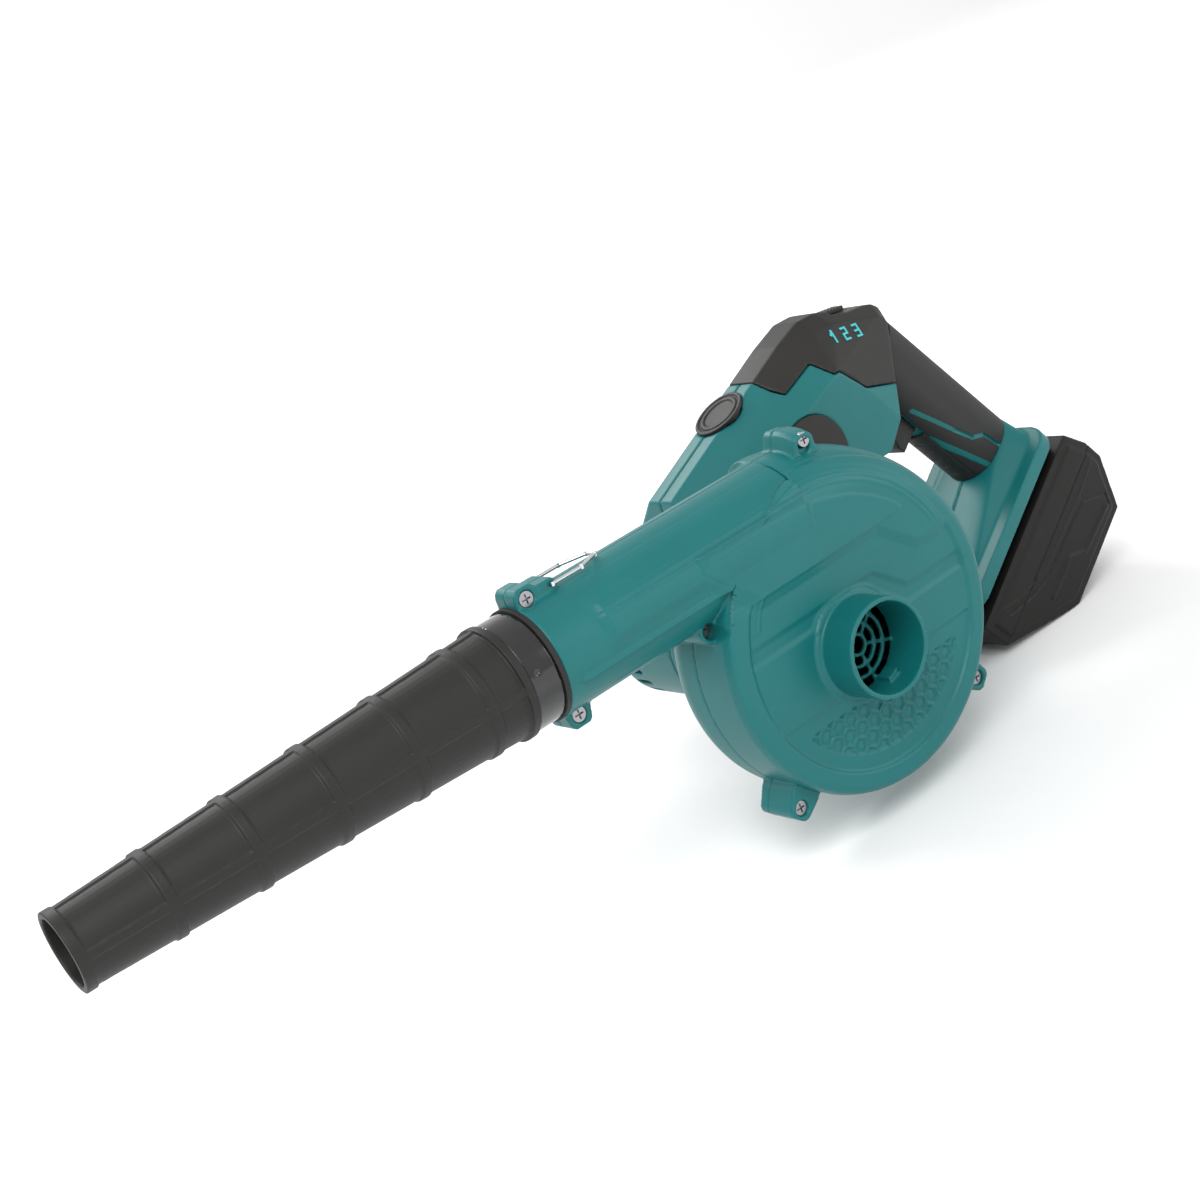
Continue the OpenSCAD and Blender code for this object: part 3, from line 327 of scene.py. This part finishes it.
# %% Take over a piece and relax its skin
def moulded(name, square_mm, relax, factor=0.5):
    source = nodes[name]
    piece = bpy.data.objects.new(name + "_moulded", source.data.copy())
    bpy.context.collection.objects.link(piece)
    weld = bmesh.new()
    weld.from_mesh(piece.data)
    bmesh.ops.remove_doubles(weld, verts=weld.verts, dist=1e-6)
    weld.to_mesh(piece.data)
    weld.free()
    skin = piece.modifiers.new("skin", "REMESH")
    skin.mode = "VOXEL"
    skin.voxel_size = square_mm * MM * 1.0
    skin.use_smooth_shade = True
    soften = piece.modifiers.new("relax", "SMOOTH")
    soften.factor, soften.iterations = factor, relax
    bpy.context.view_layer.update()
    shape = bpy.data.meshes.new_from_object(piece.evaluated_get(bpy.context.evaluated_depsgraph_get()))
    piece.modifiers.clear()
    piece.data = shape
    piece.data.materials.clear()
    piece.data.materials.append(finish[name])
    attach(piece, body_of[name])
    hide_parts(name)
    print(name, len(shape.polygons), "faces")
    return piece


shells = {}
for name, square_mm, relax in (("fan_cover", 0.6, 3), ("fan_casing", 0.8, 4), ("body_near", 0.7, 6),
                               ("body_far", 0.8, 6), ("head_cap", 0.7, 7), ("nozzle", 0.42, 2),
                               ("battery_top", 0.6, 4), ("battery_base", 0.6, 4), ("trigger", 0.5, 6),
                               ("front_cap", 0.35, 3), ("speed_slider", 0.3, 4), ("coupling_ring", 0.4, 3),
                               ("grip_pad_near", 0.4, 3), ("grip_pad_far", 0.4, 3),
                               ("grip_pad_front", 0.35, 3)):
    shells[name] = moulded(name, square_mm, relax)

# %% [markdown]
# ## The casing's face
# The cover is a shallow dish with a decorated face: a raised upper panel with a sloping lower
# edge, a sunk band, a lower step and a field of honeycomb. Such low relief could be cut with
# boolean tools, but every cut would leave a knife edge again. The skin is already made of small
# squares, so the relief is pressed into it instead, like a coin: each point on the face moves
# in or out by a height that is worked out from its distance to the drawn lines.

# %% Read and write all points of a piece, in millimetres
def points_of(piece):
    values = []
    for key in ("co", "normal"):
        flat = np.empty(len(piece.data.vertices) * 3)
        piece.data.vertices.foreach_get(key, flat)
        values.append(flat.reshape(-1, 3))
    return values[0] / MM, values[1]


def put_points(piece, p):
    piece.data.vertices.foreach_set("co", (p * MM).ravel())
    piece.data.update()


# %% Distances to drawn lines, for all points at once
def to_line(x, z, corners):
    """Distance to an open line through the given corners."""
    p = np.stack([x, z], 1)
    best = np.full(len(x), 1e9)
    for a, b in zip(corners, corners[1:]):
        a, b = np.array(a, float), np.array(b, float)
        t = np.clip(((p - a) @ (b - a)) / ((b - a) @ (b - a)), 0, 1)
        best = np.minimum(best, np.hypot(*(p - a - t[:, None] * (b - a)).T))
    return best


def to_polygon(x, z, corners):
    """Distance to a closed outline, negative inside."""
    closed = corners + corners[:1]
    inside = np.zeros(len(x), bool)
    for a, b in zip(closed, closed[1:]):
        crosses = (a[1] > z) != (b[1] > z)
        rise = b[1] - a[1] if b[1] != a[1] else 1e-9
        inside ^= crosses & (x < (b[0] - a[0]) * (z - a[1]) / rise + a[0])
    distance = to_line(x, z, closed)
    return np.where(inside, -distance, distance)


def to_circle(x, z, centre, radius):
    return np.hypot(x - centre[0], z - centre[1]) - radius


def step(distance, width):
    """1 well inside, 0 outside, with a straight slope of the given width."""
    return np.clip(0.5 - distance / width, 0, 1)


# %% The sizes of the casing that the relief follows
face_mm = 19.5
tube_y = 44.0
scroll_centre, scroll_radius = (6.6, 6.0), 73.7
lobe_centre, lobe_radius = (-1.0, 6.0), 81.6
tube_axis_z, tube_radius = 62.3, 25.0
tube_foot, tube_end_x = 24.0, -130.0


def inner_outline(x, z, inset):
    """Distance to the casing's outline taken in by inset: scroll, upper lobe and tube together."""
    scroll = to_circle(x, z, scroll_centre, scroll_radius - inset)
    lobe = np.maximum(to_circle(x, z, lobe_centre, lobe_radius - inset), np.maximum(-1 - x, 6 - z))
    above = z - tube_axis_z - tube_radius + inset
    below = tube_axis_z - tube_foot + inset * 0.3 - z
    tube = np.maximum(np.maximum(above, x + 1), below)
    return np.minimum(np.minimum(scroll, lobe), np.maximum(tube, tube_end_x - x))


# %% [markdown]
# The honeycomb is a grid of hexagons. The distance to the nearest cell's edge can be had from
# three directions sixty degrees apart, which is quicker than drawing each cell.

# %% Honeycomb ribs
def honeycomb(x, z, pitch=7.6, rib=1.5):
    best = np.full(len(x), 1e9)
    row = pitch * math.sqrt(3) / 2
    for shift in (0, 1):
        u = x - shift * pitch / 2
        v = z - shift * row
        du = u - np.round(u / pitch) * pitch
        dv = v - np.round(v / (2 * row)) * 2 * row
        slanted = np.maximum(np.abs(du * 0.5 + dv * 0.866), np.abs(du * 0.5 - dv * 0.866))
        reach = np.maximum(np.abs(du), slanted)
        best = np.minimum(best, reach)
    ribs = np.clip((best - (pitch / 2 - rib / 2)) / 0.5 + 0.5, 0, 1)
    buttons = np.clip((pitch * 0.26 - best) / 0.6 + 0.5, 0, 1)
    return ribs, buttons


# %% The height of the whole face
def face_height(x, z):
    field = inner_outline(x, z, 10.5)
    inside = step(field, 1.6)
    rim = 0.9 * (1 - inside)
    for inset, lift in ((13.2, 0.35), (15.6, 0.35)):
        ridge = inner_outline(x, z, inset)
        rim = rim + lift * step(np.abs(ridge) - 0.7, 0.9) * (z > 30)
    upper = [(-114, 80), (-114, 58.5), (-64, 58.5), (-42, 38), (29, 38), (48, 22), (63, 22),
             (90, 30), (90, 100)]
    upper_step = 1.3 * step(to_polygon(x, z, upper) + 2.2, 4.4)
    panel = [(-63, 66), (-39.5, 42.3), (44, 42.6), (46, 44.2), (44, 47), (34, 55), (22, 61.5),
             (8, 66), (-6, 68), (-30, 68.5), (-58, 68.5)]
    panel_step = 0.45 * step(to_polygon(x, z, panel), 0.8)
    groove = [(-80, 25), (20.5, 25), (37, 11.4), (80, 11.4), (80, 3), (34, 3), (18, 16.7), (-80, 16.7)]
    band = -0.9 * step(to_polygon(x, z, groove) + 0.8, 2.4)
    low = -0.7 * step(z + 16, 1.4)
    pocket = np.maximum(to_circle(x, z, scroll_centre, 55.5), z + 23.6)
    rib, button = honeycomb(x - 6.6, z + 28)
    comb = step(pocket, 0.8) * (-1.1 + 1.0 * rib + 0.35 * button)
    height = rim + inside * (upper_step + panel_step + band * (z < 30) + low + comb)
    collar = np.clip((np.hypot(x, z) - 25.5) / 1.5, 0, 1)
    crotch = np.clip((np.hypot(x + 64, z - 47) - 5) / 7, 0, 1)
    return height * collar * crotch


# %% [markdown]
# The casing's upper edge is as round as the tube where they meet, and the rounding gets
# narrower along the scroll. In each cross-section the square corner is stretched onto an arc,
# and the inside follows because the same stretch is used at every depth.

# %% Round the shoulder, then press the relief
def round_shoulder(p):
    x, y, z = p[:, 0], p[:, 1], p[:, 2]
    dx, dz = x - lobe_centre[0], z - lobe_centre[1]
    r, angle = np.hypot(dx, dz), np.degrees(np.arctan2(dz, dx))
    turn = np.clip(angle / 90, 0, 1)
    narrow, wide = 5.0, 24.3
    s = narrow + (wide - narrow) * turn * turn * (3 - 2 * turn)
    u, v = s - (lobe_radius - r), s - (y - face_mm)
    here = (u > 0) & (v > 0) & (angle > 0) & (angle <= 92) & (x >= lobe_centre[0] - 1)
    rho = np.hypot(u, v) + 1e-9
    c, n = u / rho, v / rho
    f = 4.6    # the edge's radius before it is widened
    wall = s / np.maximum(np.maximum(c, n), 1e-6)
    inner = (s - f) * (c + n)
    arc = inner + np.sqrt(np.maximum(inner ** 2 - 2 * (s - f) ** 2 + f * f, 0))
    flat = (wall * c > s - f) & (wall * n > s - f)
    edge = np.where(flat, arc, wall)
    k = np.where(here, s / np.maximum(edge, 1e-6), 1.0)
    u, v = u * k, v * k
    r_new = np.where(here, lobe_radius - s + u, r)
    out = p.copy()
    out[:, 0] = lobe_centre[0] + dx / np.maximum(r, 1e-9) * r_new
    out[:, 2] = lobe_centre[1] + dz / np.maximum(r, 1e-9) * r_new
    out[:, 1] = np.where(here, face_mm + s - v, y)
    return out


def press_face(piece):
    p, n = points_of(piece)
    x, y, z = p[:, 0], p[:, 1], p[:, 2]
    on_face = (y < face_mm + 1.5) & (y > face_mm - 1.4) & (np.hypot(x, z) > 25.0)
    flat = on_face & (inner_outline(x, z, 4.4) < 0) & ((x > -62) | (z < 55)) & (z < 84)
    tubular = flat & (x < -1) & (z > 50)
    y_tube = tube_y - np.sqrt(np.maximum(tube_radius ** 2 - (z - tube_axis_z) ** 2, 0))
    level = np.where(tubular, np.minimum(face_mm, y_tube), face_mm)
    p[:, 1] = np.where(flat, level, y)
    p = round_shoulder(p)
    x, y, z = p[:, 0], p[:, 1], p[:, 2]
    facing = (n[:, 1] < -0.35) & (y < face_mm + 13.5) & (np.hypot(x, z) > 25.0) & (y > face_mm - 4.5)
    outer = facing & ((y < face_mm + 1.0) | (inner_outline(x, z, 22) > 0))
    fade = np.clip((x + 116) / 6, 0, 1) * np.clip((-n[:, 1] - 0.35) / 0.3, 0, 1)
    p[:, 1] -= np.where(outer, face_height(x, z) * fade, 0)
    put_points(piece, p)
    print("relief pressed into", int(outer.sum()), "points")


press_face(shells["fan_cover"])

# %% [markdown]
# The battery's flanks carry a thin ridge, a groove that turns a corner, and a stepped raised bar.
# They are drawn in the tilted frame of its rails, where u runs along the rails and v across
# them, and only the points on a flank move.

# %% Lines on the battery's flanks
rail_tilt = 34.6
ridge_line = [(178, -145), (159, -146), (113, -143.5), (103, -140), (92, -135), (81, -128)]
groove_line = [(167, -168.5), (170, -163), (158.5, -150.5), (144, -149), (120, -148.5),
               (110, -147.5), (98, -143), (82.5, -134)]
bar_line = [(165, -167.5), (136, -165.5), (127.5, -157), (104.5, -156.5)]


def rail_frame(p):
    tilt = math.radians(rail_tilt)
    return (p[:, 0] * math.cos(tilt) + p[:, 2] * math.sin(tilt),
            p[:, 2] * math.cos(tilt) - p[:, 0] * math.sin(tilt))


def press_battery(piece):
    p, n = points_of(piece)
    u, v = rail_frame(p)
    ridge = 0.5 * step(to_line(u, v, ridge_line) - 0.5, 0.9)
    groove = 0.8 * step(to_line(u, v, groove_line) - 0.5, 1.0)
    bar = 0.8 * step(to_line(u, v, bar_line) - 1.3, 1.0)
    lift = ridge - groove + bar
    p[:, 1] += np.sign(n[:, 1]) * lift * np.clip((np.abs(n[:, 1]) - 0.5) / 0.4, 0, 1)
    put_points(piece, p)
    print(piece.name, "lines moved", int((np.abs(lift) > 0.1).sum()), "points")


for name in ("battery_top", "battery_base"):
    press_battery(shells[name])

# %% [markdown]
# The grip cover is moulded in two shots: thin teal lines of the hard plastic show through the
# rubber. One line steps sideways half way down, and one runs along the seam.

# %% Teal lines in the grip cover
step_line = [(147.5, -42), (153, -70), (156, -82), (161.5, -88), (163, -103)]
seam_line = [(143.6, -62), (145, -70), (152, -106)]
for name in ("grip_pad_near", "grip_pad_far"):
    pad = shells[name]
    pad.data.materials.append(teal_plastic)
    centres = np.array([face.center for face in pad.data.polygons]) / MM
    u, v = rail_frame(centres)
    lined = (to_line(u, v, step_line) < 1.0) | (to_line(u, v, seam_line) < 1.2)
    pad.data.polygons.foreach_set("material_index", lined.astype(int))
    pad.data.update()
    print(name, int(lined.sum()), "teal faces")

# %% [markdown]
# ## The smaller turned and stamped pieces
# Screws, nut, wire and inner parts keep the working model's exact shape. They are smooth on
# round sides and crisp on flat ones, so each gets a thin bevel that catches the light.

# %% Thin bevels for everything that stays
for name, piece in nodes.items():
    if name in shells:
        continue
    edge = piece.modifiers.new("thin_edge", "BEVEL")
    edge.width, edge.segments, edge.limit_method = 0.12 * MM, 2, "ANGLE"
    edge.angle_limit = math.radians(35)

# %% [markdown]
# ## Floor, light and camera
# A pale sweep runs from floor to wall without a corner, as in a small studio. One large
# soft lamp stands high on the inlet's side, a second lifts the shadows, and a strip behind
# draws a thin light along the upper edges.

# %% The pale sweep
def sweep(width=14.0, depth=9.0, height=7.0, bend=4.0, steps=32):
    low = working_box[0][2] - 0.0005
    turn = math.radians(60.18)
    forward = Vector((math.cos(turn), math.sin(turn), 0))
    side = Vector((math.sin(turn), -math.cos(turn), 0))
    profile = [(-depth, 0.0), (depth - bend, 0.0)]
    profile += [(depth - bend + bend * math.sin(a), bend - bend * math.cos(a))
                for a in (math.pi / 2 * k / steps for k in range(1, steps + 1))]
    profile.append((depth, height))
    rows = []
    skin = bmesh.new()
    for s in (-width, width):
        rows.append([skin.verts.new(forward * d + side * s + Vector((0, 0, low + h))) for d, h in profile])
    for k in range(len(profile) - 1):
        skin.faces.new((rows[0][k], rows[1][k], rows[1][k + 1], rows[0][k + 1])).smooth = True
    mesh = bpy.data.meshes.new("studio_sweep")
    skin.to_mesh(mesh)
    skin.free()
    floor = bpy.data.objects.new("studio_sweep", mesh)
    bpy.context.collection.objects.link(floor)
    paper = Recipe("pale_paper")
    paper.set(Base_Color=paper.mix(paper.noise(40.0), (0.86, 0.86, 0.86), (0.88, 0.88, 0.88)), Roughness=0.9)
    mesh.materials.append(paper.material)
    return floor


sweep()

# %% Lamps
def lamp(name, place, aim, size, power, colour=(1, 1, 1)):
    data = bpy.data.lights.new(name, "AREA")
    data.shape, data.size, data.size_y = "RECTANGLE", size[0], size[1]
    data.energy, data.color = power, colour
    light = bpy.data.objects.new(name, data)
    bpy.context.collection.objects.link(light)
    light.location = place
    light.rotation_euler = (Vector(aim) - Vector(place)).to_track_quat("-Z", "Y").to_euler()


lamp("key_softbox", (-0.9, -1.143, 1.5), (0, 0.057, 0), (1.2, 1.2), 30)
lamp("fill_softbox", (1.3, -1.143, 0.5), (0, 0.057, 0), (1.2, 1.0), 8)
lamp("wall_wash", (-1.2, 2.2, 2.6), (2.0, 6.0, 1.5), (3.0, 1.2), 260)
lamp("edge_strip", (-0.3, 1.257, 1.2), (0, 0.107, 0.05), (1.6, 0.3), 16)
world = bpy.data.worlds.new("soft_room")
world.use_nodes = True
world.node_tree.nodes["Background"].inputs[0].default_value = (1, 1, 1, 1)
world.node_tree.nodes["Background"].inputs[1].default_value = 0.75
bpy.context.scene.world = world
bpy.context.scene.view_settings.view_transform = "Standard"

# %% Camera
lens = bpy.data.cameras.new("camera")
lens.lens, lens.sensor_width, lens.clip_start = 53.2, 36.0, 0.01
camera = bpy.data.objects.new("camera", lens)
bpy.context.collection.objects.link(camera)
camera.location = (-0.4372, -0.5505, 0.2733)
camera.rotation_euler = [math.radians(turn) for turn in (72.25, 21.18, -36.45)]
bpy.context.scene.camera = camera
